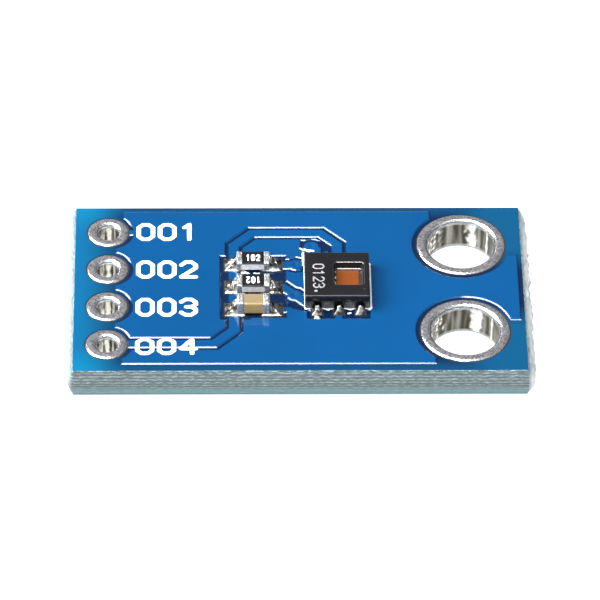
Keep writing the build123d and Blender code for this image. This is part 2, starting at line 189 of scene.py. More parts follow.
# The broken edges of the plies draw fine lines, with short specks of glass between
ply = 0.15 * MM
band_spacing = 0.314  # of a wave texture at scale 1
plies = add(tree, "TexWave", {"Vector": place, "Scale": band_spacing / ply, "Distortion": 0.8,
                              "Detail": 2.0, "Detail Scale": 2.0}, bands_direction="Z")
speck_grain = (0.3, 0.3, 0.045)
bundles = add(tree, "Mapping", {"Vector": place, "Scale": [1 / (g * MM) for g in speck_grain]})
specks = add(tree, "TexNoise", {"Vector": bundles, "Scale": 1.0, "Detail": 5.0, "Roughness": 0.7})
streaks = add(tree, "Mix", {"Factor": 0.87, "A": plies.outputs["Fac"], "B": specks})
streak_colour = add(tree, "ValToRGB", {"Fac": streaks})
ramp = streak_colour.color_ramp
ramp.elements[0].position, ramp.elements[0].color = 0.36, srgb("475457")
ramp.elements[1].position, ramp.elements[1].color = 0.66, srgb("93a0a2")
ramp.elements.new(0.5).color = srgb("566568")
# Towards the foot it looks greener
low_share = add(tree, "MapRange", {"Value": parts["Z"], "From Min": 0.75 * MM,
                                   "From Max": 0.3 * MM, "To Max": 0.6})
lower = add(tree, "Mix", {"Factor": low_share, "A": streak_colour, "B": srgb("61959a")},
            data_type="RGBA")
# Crazed lacquer hangs on along the upper edge as a broken pale line
rim_share = add(tree, "MapRange", {"Value": parts["Z"], "From Min": (core_top - 0.1) * MM,
                                   "From Max": (core_top - 0.04) * MM})
flakes = add(tree, "MapRange", {"Value": specks, "From Min": 0.5, "From Max": 0.58})
rim_share = add(tree, "Math", {0: rim_share, 1: flakes}, operation="MULTIPLY")
rimmed = add(tree, "Mix", {"Factor": rim_share, "A": lower, "B": srgb("9ab8c4")},
             data_type="RGBA")
# Both ends tore more than the sides did, so they are paler, and the right one most
end_reach = add(tree, "Math", {0: parts["X"]}, operation="ABSOLUTE")
end_share = add(tree, "MapRange", {"Value": end_reach, "From Min": (board_width / 2 + 0.02) * MM,
                                   "From Max": (board_width / 2 + 0.2) * MM, "To Max": 0.7})
rightward = add(tree, "MapRange", {"Value": parts["X"], "From Min": -5 * MM, "From Max": 5 * MM})
torn_colour = add(tree, "Mix", {"Factor": rightward, "A": srgb("9aa6ab"), "B": srgb("e4e9e9")},
                  data_type="RGBA")
ends = add(tree, "Mix", {"Factor": end_share, "A": rimmed, "B": torn_colour}, data_type="RGBA")
# Where the face shows in the mask's openings, beside the rings, it is painted near black: painted
# shade in the narrow slot between ring and mask
lean = add(tree, "SeparateXYZ", {"Vector": add(tree, "TexCoord").outputs["Normal"]}).outputs
upright = add(tree, "Math", {0: lean["Z"]}, operation="ABSOLUTE")
faced = add(tree, "Math", {0: upright, 1: 0.97}, operation="GREATER_THAN")
slot_shaded = add(tree, "Mix", {"Factor": faced, "A": ends, "B": srgb("19212b")}, data_type="RGBA")
link(slot_shaded, shader.inputs["Base Color"])
# Broken fibres lie along the edges, 0.05 mm high and a few times as long
fibre_grain = (0.25, 0.25, 0.05)
fibres = add(tree, "Mapping", {"Vector": place, "Scale": [1 / (g * MM) for g in fibre_grain]})
fibre_noise = add(tree, "TexNoise", {"Vector": fibres, "Scale": 1.0, "Detail": 5.0})
torn = add(tree, "Bump", {"Height": fibre_noise, "Strength": 0.7, "Distance": 0.02 * MM})
link(torn, shader.inputs["Normal"])

side_bulge = {"front": 0.195, "right": 0.33, "back": 0.195, "left": 0.235}
side_tear = {"front": 0.01, "right": 0.13, "back": 0.01, "left": 0.1}
coarse_grain, fine_grain = (0.5, 0.5, 0.22), (0.9, 0.9, 0.075)
corner_fade = 0.25  # length over which the tear dies out towards a corner
corner_share = 0.8  # how much of the bulge the corners have
half = np.array([board_width / 2, board_depth / 2])
corners = [(-1, -1), (1, -1), (1, 1), (-1, 1)]
rows = 31
pitch = 0.06
heights = np.linspace(core_bottom, core_top, rows)
# Share of the full bulge at each height: the score's slopes, with the torn web between them
from_face = np.minimum(heights - core_bottom, core_top - heights)
swell = np.clip(from_face / score_depth, 0, 1)
outline = []
for side, (a, b) in zip(side_bulge, zip(corners, corners[1:] + corners[:1])):
    length = board_width if a[1] == b[1] else board_depth
    count = int(length / pitch)
    outline += [(side, a, b, i / count) for i in range(count)]
columns = len(outline)
points = np.zeros((columns, rows, 3))
for i, (side, a, b, along) in enumerate(outline):
    outward = np.array([b[1] - a[1], a[0] - b[0]]) / 2
    run = (np.array(b) - a) * half
    near_end = min(along, 1 - along) * np.linalg.norm(run)
    fade = min(1.0, near_end / corner_fade)
    points[i, :, :2] = a * half + run * along + outward * (side_bulge[side] * swell)[:, None]
    points[i, :, 2] = heights
    coarse = wobble(points[i], coarse_grain, 1)
    fine = wobble(points[i], fine_grain, 2)
    tear = side_tear[side] * (0.5 * coarse + 0.8 * fine) * np.minimum(1, swell * 4) * fade
    points[i, :, :2] += outward * tear[:, None]
# Corner columns bulge along both sides, so that neighbouring sides meet
for i, (side, a, b, along) in enumerate(outline):
    if along == 0:
        before = outline[i - 1][0]
        for axis in (0, 1):
            own = side if a[axis] == b[axis] else before
            bulge = side_bulge[own] * swell * corner_share
            points[i, :, axis] = a[axis] * (half[axis] + bulge)
skin = points.reshape(-1, 3).tolist()
faces = []
for i in range(columns):
    here, there = i * rows, (i + 1) % columns * rows
    faces += [(here + k, there + k, there + k + 1, here + k + 1) for k in range(rows - 1)]

drills = [((header_x, y), header_drill) for y in header_y.values()]
drills += [((screw_x, y), screw_drill) for y in screw_y.values()]
drill_sides = 64
turns = [2 * math.pi * i / drill_sides for i in range(drill_sides)]
bores = [[(x + radius * math.cos(t), y + radius * math.sin(t)) for t in turns]
         for (x, y), radius in drills]
for height, row in ((core_bottom, 0), (core_top, rows - 1)):
    rim = [skin[i * rows + row][:2] for i in range(columns)]
    loops = [[Vector((x, y, 0)) for x, y in loop] for loop in [rim] + bores]
    first = len(skin)
    skin += [(v.x, v.y, height) for loop in loops for v in loop]
    faces += [tuple(first + i for i in triangle)
              for triangle in geometry.tessellate_polygon(loops)]
bore_bottom = columns * rows + columns
bore_top = bore_bottom + len(drills) * drill_sides + columns
for hole in range(len(drills)):
    low, high = bore_bottom + hole * drill_sides, bore_top + hole * drill_sides
    for i in range(drill_sides):
        j = (i + 1) % drill_sides
        faces.append((low + i, high + i, high + j, low + j))
blank = new_piece("board_blank", skin, faces, laminate)
for face in blank.data.polygons:
    face.use_smooth = abs(face.normal.z) < 0.99
blank.modifiers.new("joined_rims", "WELD").merge_threshold = 0.0005 * MM
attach(blank, "root")
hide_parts("laminate_core")


# Copper -----------------------------------------------------------------------------------------
# Foil that was etched to lands, tracks and ground fill, and plated through the small holes. The
# mask covers nearly all of it, and where an opening leaves a line of it bare, it was tinned with
# the holes.


def mottled(tree, shader, grain, dark, pale, detail=3.0, roughness=0.5, bump=None):
    """Colour a shader by noise with its grain in millimetres, between two stops of a ramp, each a
    place and a colour. The noise raises the skin by a bump's strength and depth in millimetres."""
    pattern = add(tree, "TexNoise", {"Vector": add(tree, "TexCoord").outputs["Object"],
                                     "Scale": 1 / (grain * MM), "Detail": detail,
                                     "Roughness": roughness})
    colour = add(tree, "ValToRGB", {"Fac": pattern})
    for stop, (position, code) in zip(colour.color_ramp.elements, (dark, pale)):
        stop.position, stop.color = position, srgb(code)
    link(colour, shader.inputs["Base Color"])
    if bump:
        raised = add(tree, "Bump", {"Height": pattern, "Strength": bump[0],
                                    "Distance": bump[1] * MM})
        link(raised, shader.inputs["Normal"])
    return colour


def dress(names, material):
    """Give a material to CAD nodes that stay."""
    for name in names:
        nodes[name].data.materials.clear()
        nodes[name].data.materials.append(material)


# Etching leaves the metal matt, with grains of about 0.05 mm
foil, tree, shader = new_material("Tinned copper foil", Metallic=1.0, Roughness=0.4)
mottled(tree, shader, 0.05, (0, "55514b"), (1, "8f8a82"), bump=(0.3, 0.01))
dress([
    "ground_copper_top", "supply_copper_top", "clock_copper_top", "clock_pin_copper_top",
    "data_copper_top", "spare_lands_top", "ground_copper_bottom", "clock_copper_bottom",
    "data_copper_bottom", "via_barrels",
], foil)


# Solder mask ------------------------------------------------------------------------------------
# Blue epoxy lacquer, curtain coated and cured by light on both faces. It flows down over the
# copper's edges, looks deep blue over copper and lighter over bare laminate, and the narrow gaps
# are painted navy: painted shade.

mask, tree, shader = new_material("Glossy blue solder mask", Roughness=0.13, IOR=1.58)
place = add(tree, "TexCoord").outputs["Object"]
parts = add(tree, "SeparateXYZ", {"Vector": place}).outputs
height = add(tree, "Math", {0: parts["Z"], 1: core_middle * MM}, operation="SUBTRACT")
height = add(tree, "Math", {0: height}, operation="ABSOLUTE")
half_core = (core_top - core_bottom) / 2
# Slopes that face the front are painted lighter, as if they lay higher over the copper, and slopes
# that face the back darker: painted light and shade by which way they face
lean = add(tree, "SeparateXYZ", {"Vector": add(tree, "TexCoord").outputs["Normal"]}).outputs
facing_shaded_height = add(tree, "Math", {0: lean["Y"], 1: -0.08 * MM, 2: height}, operation="MULTIPLY_ADD")
over_copper = add(tree, "MapRange", {"Value": facing_shaded_height, "From Min": (half_core + 0.04) * MM,
                                     "From Max": (half_core + 0.06) * MM})
# Over bare laminate it is navy in the middle, painted shade of the narrow gaps, and lighter towards
# the right end, the long sides and the left end
off_middle = add(tree, "Math", {0: parts["Y"]}, operation="ABSOLUTE")
to_right = add(tree, "MapRange", {"Value": parts["X"], "From Min": (screw_x - 1.6) * MM,
                                  "From Max": (screw_x + 1.6) * MM, "To Max": 0.56},
               interpolation_type="SMOOTHSTEP")
near_corner = add(tree, "MapRange", {"Value": off_middle, "From Min": 1.2 * MM,
                                     "From Max": 2.6 * MM})
to_right = add(tree, "Math", {0: to_right, 1: near_corner}, operation="MULTIPLY")
to_side = add(tree, "MapRange", {"Value": off_middle, "From Min": (board_depth / 2 - 0.8) * MM,
                                 "From Max": (board_depth / 2 - 0.2) * MM, "To Max": 0.33})
to_left = add(tree, "MapRange", {"Value": parts["X"], "From Min": (header_x + 1.2) * MM,
                                 "From Max": (header_x - 1.6) * MM},
              interpolation_type="SMOOTHSTEP")
edge = add(tree, "Math", {0: to_right, 1: to_side}, operation="MAXIMUM")
edge = add(tree, "Math", {0: edge, 1: to_left}, operation="MAXIMUM")
bare_and_gap_shade = add(tree, "Mix", {"Factor": edge, "A": srgb("041a38"), "B": srgb("04547c")},
           data_type="RGBA")
# The lacquer is thinnest at the two left corners
to_corner = add(tree, "MapRange", {"Value": off_middle, "From Min": 3.9 * MM,
                                   "From Max": 5.4 * MM})
to_corner = add(tree, "Math", {0: to_corner, 1: to_left}, operation="MULTIPLY")
bare_and_gap_shade = add(tree, "Mix", {"Factor": to_corner, "A": bare_and_gap_shade, "B": srgb("056489")}, data_type="RGBA")
# The lacquer's thickness varies over about 4 mm
flow = add(tree, "TexNoise", {"Vector": place, "Scale": 1 / (4 * MM), "Detail": 2.0})
deep = add(tree, "Mix", {"Factor": flow, "A": srgb("013b67"), "B": srgb("024476")},
           data_type="RGBA")
lacquer = add(tree, "Mix", {"Factor": over_copper, "A": bare_and_gap_shade, "B": deep}, data_type="RGBA")
# A few grains of dust, up to about 0.1 mm across, lie in it
grains = add(tree, "TexVoronoi", {"Vector": place, "Scale": 1 / (0.75 * MM)})
dust = add(tree, "MapRange", {"Value": grains, "From Min": 0.09, "From Max": 0.055,
                              "To Max": 0.5})
rare = add(tree, "SeparateColor", {"Color": grains.outputs["Color"]})
rare = add(tree, "Math", {0: rare, 1: 0.985}, operation="GREATER_THAN")
dust = add(tree, "Math", {0: dust, 1: rare}, operation="MULTIPLY")
dusty = add(tree, "Mix", {"Factor": dust, "A": lacquer, "B": srgb("7fb4dc")}, data_type="RGBA")
link(dusty, shader.inputs["Base Color"])
# It rounds over the copper's edges: the slope starts gently and steepens on its way down
down = add(tree, "MapRange", {"Value": height, "From Min": (half_core + 0.065) * MM,
                              "From Max": (half_core + 0.02) * MM})
bulge = add(tree, "Math", {0: down, 1: -0.25, 2: 0.1}, operation="MULTIPLY_ADD")
bulge = add(tree, "Math", {0: bulge, 1: down}, operation="MULTIPLY")
rounded = add(tree, "Bump", {"Height": bulge, "Strength": 1.0, "Distance": 0.045 * MM})
# Orange peel of the cured lacquer, about 0.6 mm across, and the dips where it sank into the vias
peel = add(tree, "TexNoise", {"Vector": place, "Scale": 1 / (0.6 * MM), "Detail": 2.0})
dipped = add(tree, "Bump", {"Height": peel, "Strength": 0.25, "Distance": 0.006 * MM,
                            "Normal": rounded})
mask_over_copper = 1.63
via_radius = 0.2
for x, y in ((-0.12, 1.544), (0.62, 2.8), (-0.2, -0.52)):
    away = add(tree, "VectorMath", {0: place, 1: Vector((x, y, mask_over_copper)) * MM},
               operation="DISTANCE")
    dip = add(tree, "MapRange", {"Value": away, "From Max": via_radius * MM},
              interpolation_type="SMOOTHSTEP")
    dipped = add(tree, "Bump", {"Height": dip, "Strength": 1.0, "Distance": 0.05 * MM,
                                "Normal": dipped})
link(dipped, shader.inputs["Normal"])
dress(["solder_mask_top", "solder_mask_bottom"], mask)


# Plated holes -----------------------------------------------------------------------------------
# Copper rings and bores, coated with tin by dipping and blowing off with hot air. The tin stands
# domed on the rings with a grainy skin, dips into the bores and runs down them in streaks.

header_hole, header_ring = 0.48, 0.97
screw_hole, screw_ring = 1.58, 2.07
tin_crest = 0.085

# Grains of the frozen tin, about 0.07 mm, are frosted, so that they also scatter light. Down the
# bores the runs of tin are painted near white, a painted highlight on real runs, and the wall
# beside them is dull.
tin, tree, shader = new_material("Hot air levelled tin", Metallic=0.85, Roughness=0.24)
skin_colour = mottled(tree, shader, 0.07, (0.38, "8d8b8e"), (0.62, "e9e7ea"), roughness=0.6,
                      bump=(0.35, 0.02))
# The bore wall's near white is painted highlight on its runs of tin
wall = add(tree, "Attribute", attribute_name="wall").outputs["Fac"]
painted_bore_highlight = add(tree, "Mix", {"Factor": wall, "A": skin_colour, "B": srgb("fffdf6")},
             data_type="RGBA")
# This darkening also draws a thin line at the ring's foot: painted shade
dull_and_foot_shade = add(tree, "Attribute", attribute_name="dull_and_foot_shade").outputs["Fac"]
bore_colour = add(tree, "Mix", {"Factor": dull_and_foot_shade, "A": painted_bore_highlight, "B": srgb("403e34")},
                  data_type="RGBA")
link(bore_colour, shader.inputs["Base Color"])

ring_sides = 160
dome_sag = 0.05  # how far back the dome's crest lies
dome_rim = 0.03  # what stays smooth at both edges of the dome
skin_lump = 0.012
foot_shade_width = 0.014  # width of the painted shade line at the ring's foot, where it meets the mask
wall_depth = 0.15  # depth down the bore at which the wall is full
bore_steps = 18
# From the ring's foot over the crest to the bore: share of the way, and height over the core
dome_outside = [(0, 0), (0.1, 0.034), (0.2, 0.0475), (0.3, 0.061), (0.36, 0.069), (0.5, 0.077),
                (0.7, 0.082), (1, tin_crest)]
dome_inside = [(0.25, 0.084), (0.38, 0.078), (0.5, 0.062), (0.62, 0.0455), (0.72, 0.024),
               (0.82, -0.002), (0.9, -0.026), (1, -0.065), (1, -0.1)]


def plated_hole(name, centre, hole, ring, streaks, seed):
    """Tin domed on a ring and dipping into its bore, with streaks of it down the dull wall."""
    down = np.linspace(core_top - 0.18, core_bottom + 0.18, bore_steps)
    steps = 2 * (len(dome_outside) + len(dome_inside)) + bore_steps
    points = np.zeros((ring_sides, steps, 3))
    for i in range(ring_sides):
        angle = 2 * math.pi * i / ring_sides
        top = (ring + hole) / 2 + dome_sag * math.sin(angle)
        upper = [(ring + (top - ring) * share, z) for share, z in dome_outside]
        upper += [(top + (hole - top) * share, z) for share, z in dome_inside]
        section = [(r, core_top + z) for r, z in upper] + [(hole, z) for z in down]
        section += [(r, core_bottom - z) for r, z in reversed(upper)]
        points[i] = [(r * math.cos(angle), r * math.sin(angle), z) for r, z in section]
    flat = points.reshape(-1, 3)
    radius = np.hypot(flat[:, 0], flat[:, 1])
    turn = np.arctan2(flat[:, 1], flat[:, 0])
    depth = np.minimum(core_top - flat[:, 2], flat[:, 2] - core_bottom)
    in_bore = np.clip(depth / wall_depth, 0, 1)
    on_dome = (radius > hole + dome_rim) & (radius < ring - dome_rim)
    # Lumps only sink, so that the ring still rests at its crest
    lumps = np.minimum(wobble(flat, 0.35, seed), 0.2) - 0.2
    flat[:, 2] += skin_lump * lumps * on_dome * np.sign(flat[:, 2] - core_middle)
    crinkle = wobble(flat, (0.16, 0.16, 0.22), seed + 2, 4)
    ragged = wobble(flat, (0.3, 0.3, 0.5), seed + 1)
    faint = wobble(flat, (0.25, 0.25, 3.0), seed + 4)
    left = np.clip(-np.cos(turn) * 2.2 - 1.0, 0, 1)
    shine = np.clip(left * (crinkle * 4 - 0.3), 0, 1)
    shine = np.maximum(shine, np.clip(0.05 + 0.3 * faint, 0, 0.3))
    for where, width in streaks:
        off = np.degrees(np.abs(np.angle(np.exp(1j * (turn - math.radians(where))))))
        shine = np.maximum(shine, np.clip(2 - off / width + 1.2 * ragged, 0, 1))
    # The back of the bore stays dull beside the runs, and the front of it is tinned all over
    dull_and_foot_shade = in_bore * (1 - shine) * np.clip(np.sin(turn) * 3 + 1.5, 0, 1)
    # A thin line along the ring's foot is darkened like the dull wall: painted shade where the ring
    # meets the mask
    dull_and_foot_shade = np.maximum(dull_and_foot_shade, radius > ring - foot_shade_width)
    # The shining runs stand proud of the dull wall beside them
    inward = in_bore * (0.014 * shine + 0.02 * left * np.maximum(crinkle, 0))
    flat[:, 0] += centre[0] - inward * np.cos(turn)
    flat[:, 1] += centre[1] - inward * np.sin(turn)
    faces = []
    for i in range(ring_sides):
        here, there = i * steps, (i + 1) % ring_sides * steps
        faces += [(here + k, here + (k + 1) % steps, there + (k + 1) % steps, there + k)
                  for k in range(steps)]
    piece = new_piece(name, flat.tolist(), faces, tin)
    for layer, values in (("dull_and_foot_shade", dull_and_foot_shade), ("wall", in_bore)):
        attribute = piece.data.attributes.new(layer, "FLOAT", "POINT")
        attribute.data.foreach_set("value", values.astype(np.float32))
    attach(piece, "root")
    return piece


# Streaks are degrees round the bore from +X, and their half width in degrees
header_streaks = [(122, 9), (87, 9), (52, 5)]
for seed, (name, y) in enumerate(header_y.items(), 3):
    piece = plated_hole(f"tinned_header_hole_{name}", (header_x, y), header_hole, header_ring,
                        header_streaks, seed)
    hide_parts(f"header_barrel_{name}")
screw_streaks = [(68, 5), (36, 1.2)]
for seed, (name, y) in enumerate(screw_y.items(), 11):
    piece = plated_hole(f"tinned_screw_hole_{name}", (screw_x, y), screw_hole, screw_ring,
                        screw_streaks, seed)
    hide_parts(f"screw_barrel_{name}")


# Printed ink ------------------------------------------------------------------------------------
# White epoxy ink that was screened onto the cured mask: plain numbers for the four header pins, and
# lines round the sensor. It lies on the mask and follows its steps over the tracks.

# The screen's mesh leaves a faint mottle, about 0.12 mm
ink, tree, shader = new_material("White screened epoxy ink", Roughness=0.5, IOR=1.5)
mottled(tree, shader, 0.12, (0, "d6e0ea"), (0.55, "ffffff"), bump=(0.3, 0.01))

mask_mesh = nodes["solder_mask_top"].data
mask_tree = BVHTree.FromPolygons(
    [v.co for v in mask_mesh.vertices], [tuple(p.vertices) for p in mask_mesh.polygons]
)
ink_thickness = 0.015


def on_mask(x, y):
    """Height of the mask's surface at a place, in millimetres."""
    hit = mask_tree.ray_cast(Vector((x, y, 5)) * MM, Vector((0, 0, -1)))[0]
    return core_top + 0.045 if hit is None else hit.z / MM


def film(inside, low, high, corner, size, step):
    """Points and faces of a layer: its outline is where inside(x, y) turns positive, its underside
    is low(x, y), and its skin is high(x, y, how far inside the outline)."""
    xs = np.arange(corner[0], corner[0] + size[0] + step, step)
    ys = np.arange(corner[1], corner[1] + size[1] + step, step)
    grid_x, grid_y = np.meshgrid(xs, ys, indexing="ij")
    depth = inside(grid_x, grid_y)
    spots, index, tops = [], {}, []

    def vertex(key, x, y, within):
        if key not in index:
            index[key] = len(spots)
            spots.append((x, y, within))
        return index[key]

    cells = np.maximum.reduce([depth[:-1, :-1], depth[1:, :-1], depth[1:, 1:], depth[:-1, 1:]])
    for i, j in np.argwhere(cells > 0):
        ring = [(i, j), (i + 1, j), (i + 1, j + 1), (i, j + 1)]
        loop = []
        for a, b in zip(ring, ring[1:] + ring[:1]):
            here, there = depth[a], depth[b]
            if here > 0:
                loop.append(vertex(a, grid_x[a], grid_y[a], here))
            if (here > 0) != (there > 0):
                share = here / (here - there)
                x = grid_x[a] + share * (grid_x[b] - grid_x[a])
                y = grid_y[a] + share * (grid_y[b] - grid_y[a])
                loop.append(vertex((min(a, b), max(a, b)), x, y, 0.0))
        if len(loop) > 2:
            tops.append(loop)
    count = len(spots)
    points = [(x, y, high(x, y, within)) for x, y, within in spots]
    points += [(x, y, low(x, y)) for x, y, _ in spots]
    edges = {pair: True for loop in tops for pair in zip(loop, loop[1:] + loop[:1])}
    faces = tops + [[v + count for v in reversed(loop)] for loop in tops]
    faces += [(b, a, a + count, b + count) for a, b in edges if (b, a) not in edges]
    return points, faces


def strokes(lines, half_width):
    """How far inside a drawn line of some width a place is."""
    def inside(x, y):
        nearest = np.full(np.shape(x), 1e6)
        for line in lines:
            for (ax, ay), (bx, by) in zip(line, line[1:]):
                dx, dy = bx - ax, by - ay
                share = ((x - ax) * dx + (y - ay) * dy) / (dx * dx + dy * dy)
                share = np.clip(share, 0, 1)
                gap = np.hypot(x - ax - share * dx, y - ay - share * dy)
                nearest = np.minimum(nearest, gap)
        return half_width - nearest
    return inside


def print_ink(name, lines, half_width, corner, size, step):
    """Ink along lines on the mask, thinner at its edges."""
    points, faces = film(
        strokes(lines, half_width),
        lambda x, y: on_mask(x, y) - 0.002,
        lambda x, y, within: on_mask(x, y) + ink_thickness * min(1.0, 0.35 + within / 0.04),
        corner, size, step,
    )
    piece = new_piece(name, points, faces, ink)
    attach(piece, "root")
    return piece


# Each digit is drawn as a plotter draws it, in a cell one wide and one high
digits = {
    "0": [[(0.3, 0), (0, 0.2), (0, 0.8), (0.3, 1), (0.7, 1), (1, 0.8), (1, 0.2), (0.7, 0),
           (0.3, 0)]],
    "1": [[(0.2, 0.8), (0.55, 1), (0.55, 0)]],
    "2": [[(0, 0.8), (0.3, 1), (0.7, 1), (1, 0.8), (1, 0.6), (0, 0), (1, 0)]],
    "3": [[(0, 0.84), (0.3, 1), (0.7, 1), (1, 0.82), (1, 0.66), (0.7, 0.52), (0.35, 0.52)],
          [(0.7, 0.52), (1, 0.37), (1, 0.18), (0.7, 0), (0.3, 0), (0, 0.16)]],
    "4": [[(0.75, 0), (0.75, 1), (0, 0.33), (1, 0.33)]],
}


def written(text, width, height, pitch):
    """Strokes of a row of digits, from the first one's lower left corner."""
    return [[(i * pitch + u * width, v * height) for u, v in line]
            for i, digit in enumerate(text) for line in digits[digit]]


# The pins' plain numbers, each with the place of its lower left corner and its height
numbers = {"001": (3.3, 1.01), "002": (0.708, 1.01), "003": (-1.872, 1.04), "004": (-4.441, 0.93)}
number_x, number_pitch, number_width, number_half_stroke = -7.445, 1.0, 0.67, 0.105
for text, (y, tall) in numbers.items():
    lines = [[(number_x + u, y + v) for u, v in line]
             for line in written(text, number_width, tall, number_pitch)]
    print_ink(f"pin_number_{text}", lines, number_half_stroke, (number_x - 0.2, y - 0.2),
              (3.1, 1.5), 0.035)

# Lines at both sides of the sensor and along its front, broken at the lands
frame_left, frame_right, frame_front, frame_back = 0.3, 3.3, -1.415, 1.55
frame_lines = [
    [(frame_left, frame_back), (frame_left, frame_front), (0.52, frame_front)],
    [(1.1, frame_front), (1.54, frame_front)],
    [(2.1, frame_front), (2.54, frame_front)],
    [(3.08, frame_front), (frame_right, frame_front), (frame_right, frame_back)],
]
frame_piece = print_ink("sensor_frame_lines", frame_lines, 0.06, (0.15, -1.55), (3.3, 3.25), 0.03)
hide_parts("ink_frame")

# Crumbs of the same ink between the resistors, dashes between the sensor's leads, the hook at the
# end of its right line, and the strokes that run on behind its left line
crumbs = [
    [(-2.62, 1.02), (-2.55, 0.92)], [(-2.5, 1.04), (-2.36, 1.0), (-2.3, 0.9)],
    [(-2.05, 1.0), (-1.95, 0.92), (-1.85, 0.98)], [(3.33, -1.42), (3.24, -1.52)],
    [(1.24, -1.47), (1.36, -1.5)], [(2.28, -1.47), (2.4, -1.5)], [(2.27, -1.76), (2.35, -1.72)],
    [(0.23, 1.5), (0.22, 2.35)], [(0.1, 2.66), (0.45, 2.52), (0.72, 2.48)],
]
print_ink("ink_crumbs", crumbs, 0.05, (-2.8, -1.9), (6.3, 4.8), 0.03)


# Chip resistors ---------------------------------------------------------------------------------
# Two thick film chips: a white alumina slab with a black glass glaze that carries the plain digits
# of its value, and tinned ends that wrap round it. They are soldered side by side on their lands.

land_top = 1.61
chip_seat = 1.64
chip_x = -2.115
resistor_y = {"clock": 1.544, "data": 0.02}

# Scribed and broken sides, with grains of about 0.09 mm
alumina, tree, shader = new_material("Sintered white alumina", Roughness=0.55, IOR=1.76)
mottled(tree, shader, 0.09, (0.3, "d9dfe2"), (0.6, "ffffff"), detail=4.0, bump=(0.5, 0.02))

# Glass that melted smooth, with soft waves of about 0.15 mm
glaze, tree, shader = new_material("Fired black glass glaze", Roughness=0.3, IOR=1.5)
mottled(tree, shader, 0.15, (0, "0c0d0e"), (1, "191a1c"), detail=2.0, bump=(0.3, 0.01))

# Plated tin is frosted, with a matt mottle of about 0.1 mm
chip_end, tree, shader = new_material("Barrel plated tin", Metallic=0.9, Roughness=0.38)
mottled(tree, shader, 0.1, (0.35, "8e8f90"), (0.6, "f2f2f0"), roughness=0.6, bump=(0.8, 0.05))


def rounded_box(low, high, radius, cells=10):
    """Points and faces of a box with rounded edges: its faces are grids that crowd at the edges."""
    low, high = np.array(low, float), np.array(high, float)
    axes = []
    for a in range(3):
        inner = np.linspace(low[a] + radius, high[a] - radius, cells)
        axes.append(np.concatenate([[low[a], low[a] + 0.3 * radius], inner,
                                    [high[a] - 0.3 * radius, high[a]]]))
    index, points, faces = {}, [], []

    def vertex(i, j, k):
        if (i, j, k) not in index:
            index[(i, j, k)] = len(points)
            p = np.array([axes[0][i], axes[1][j], axes[2][k]])
            core = np.clip(p, low + radius, high - radius)
            off = p - core
            length = np.linalg.norm(off)
            points.append(tuple(core + off / length * radius if length > 0 else p))
        return index[(i, j, k)]

    counts = [len(a) - 1 for a in axes]
    for a in range(3):
        b, c = (a + 1) % 3, (a + 2) % 3
        for end in (0, counts[a]):
            for i in range(counts[b]):
                for j in range(counts[c]):
                    quad = []
                    for u, v in ((i, j), (i + 1, j), (i + 1, j + 1), (i, j + 1)):
                        key = [0, 0, 0]
                        key[a], key[b], key[c] = end, u, v
                        quad.append(vertex(*key))
                    faces.append(quad if end else quad[::-1])
    return points, faces


def block_inside(low, high, corner):
    """How far inside a rectangle with round corners a place is."""
    def inside(x, y):
        qx = np.maximum(low[0] - x, x - high[0]) + corner
        qy = np.maximum(low[1] - y, y - high[1]) + corner
        outside = np.hypot(np.maximum(qx, 0), np.maximum(qy, 0))
        outside = outside + np.minimum(np.maximum(qx, qy), 0)
        return corner - outside
    return inside


def end_caps(name, y, outer, inner, half_width, height, radius, lump, grain, seed):
    """Tinned caps, a little lumpy, at both ends of a chip, from inner to outer off its middle."""
    for side, sign in (("left", -1), ("right", 1)):
        start, end = sorted((chip_x + sign * outer, chip_x + sign * inner))
        points, faces = rounded_box((start, y - half_width, chip_seat),
                                    (end, y + half_width, chip_seat + height), radius)
        points = np.array(points, float)
        off = points - points.mean(0)
        off /= np.maximum(np.linalg.norm(off, axis=1), 1e-6)[:, None]
        points += off * (lump * wobble(points, grain, seed + sign))[:, None]
        cap = new_piece(f"{name}_cap_{side}", points.tolist(), faces, chip_end)
        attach(cap, "root")
        if side == "left":
            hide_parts(f"{name}_ends")


resistor_top = chip_seat + 0.42
digit_size, digit_pitch = (0.12, 0.38), 0.235
for seed, (name, y) in enumerate(resistor_y.items(), 21):
    points, faces = rounded_box((chip_x - 0.73, y - 0.42, chip_seat + 0.03),
                                (chip_x + 0.73, y + 0.42, resistor_top), 0.02)
    slab = new_piece(f"{name}_resistor_slab", points, faces, alumina)
    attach(slab, "root")
    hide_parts(f"{name}_resistor_body")
    points, faces = film(
        block_inside((chip_x - 0.54, y - 0.43), (chip_x + 0.54, y + 0.41), 0.04),
        lambda u, v: resistor_top - 0.03,
        lambda u, v, within: resistor_top + 0.03 * min(1.0, 0.25 + within / 0.06),
        (chip_x - 0.57, y - 0.46), (1.14, 0.9), 0.03,
    )
    coating = new_piece(f"{name}_resistor_coat", points, faces, glaze)
    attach(coating, "root")
    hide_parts(f"{name}_resistor_glaze")
    # The front one lies turned round, so its digits read from the back
    facing = 1 if name == "clock" else -1
    lines = [[(chip_x + facing * (u - 0.295), y - 0.03 + facing * (v - 0.19)) for u, v in line]
             for line in written("102", *digit_size, digit_pitch)]
    points, faces = film(strokes(lines, 0.034), lambda u, v: resistor_top + 0.026,
                         lambda u, v, within: resistor_top + 0.036,
                         (chip_x - 0.5, y - 0.35), (1.0, 0.7), 0.018)
    value = new_piece(f"{name}_resistor_value", points, faces, ink)
    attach(value, "root")
    end_caps(f"{name}_resistor", y, outer=0.765, inner=0.5, half_width=0.425, height=0.455,
             radius=0.035, lump=0.012, grain=0.2, seed=seed * 3)


# Chip capacitor ---------------------------------------------------------------------------------
# Layers of tan ceramic and nickel, pressed, fired and tumbled so that all edges are round, with
# tinned caps at both ends. It is taller than the resistors and stands in front of them.

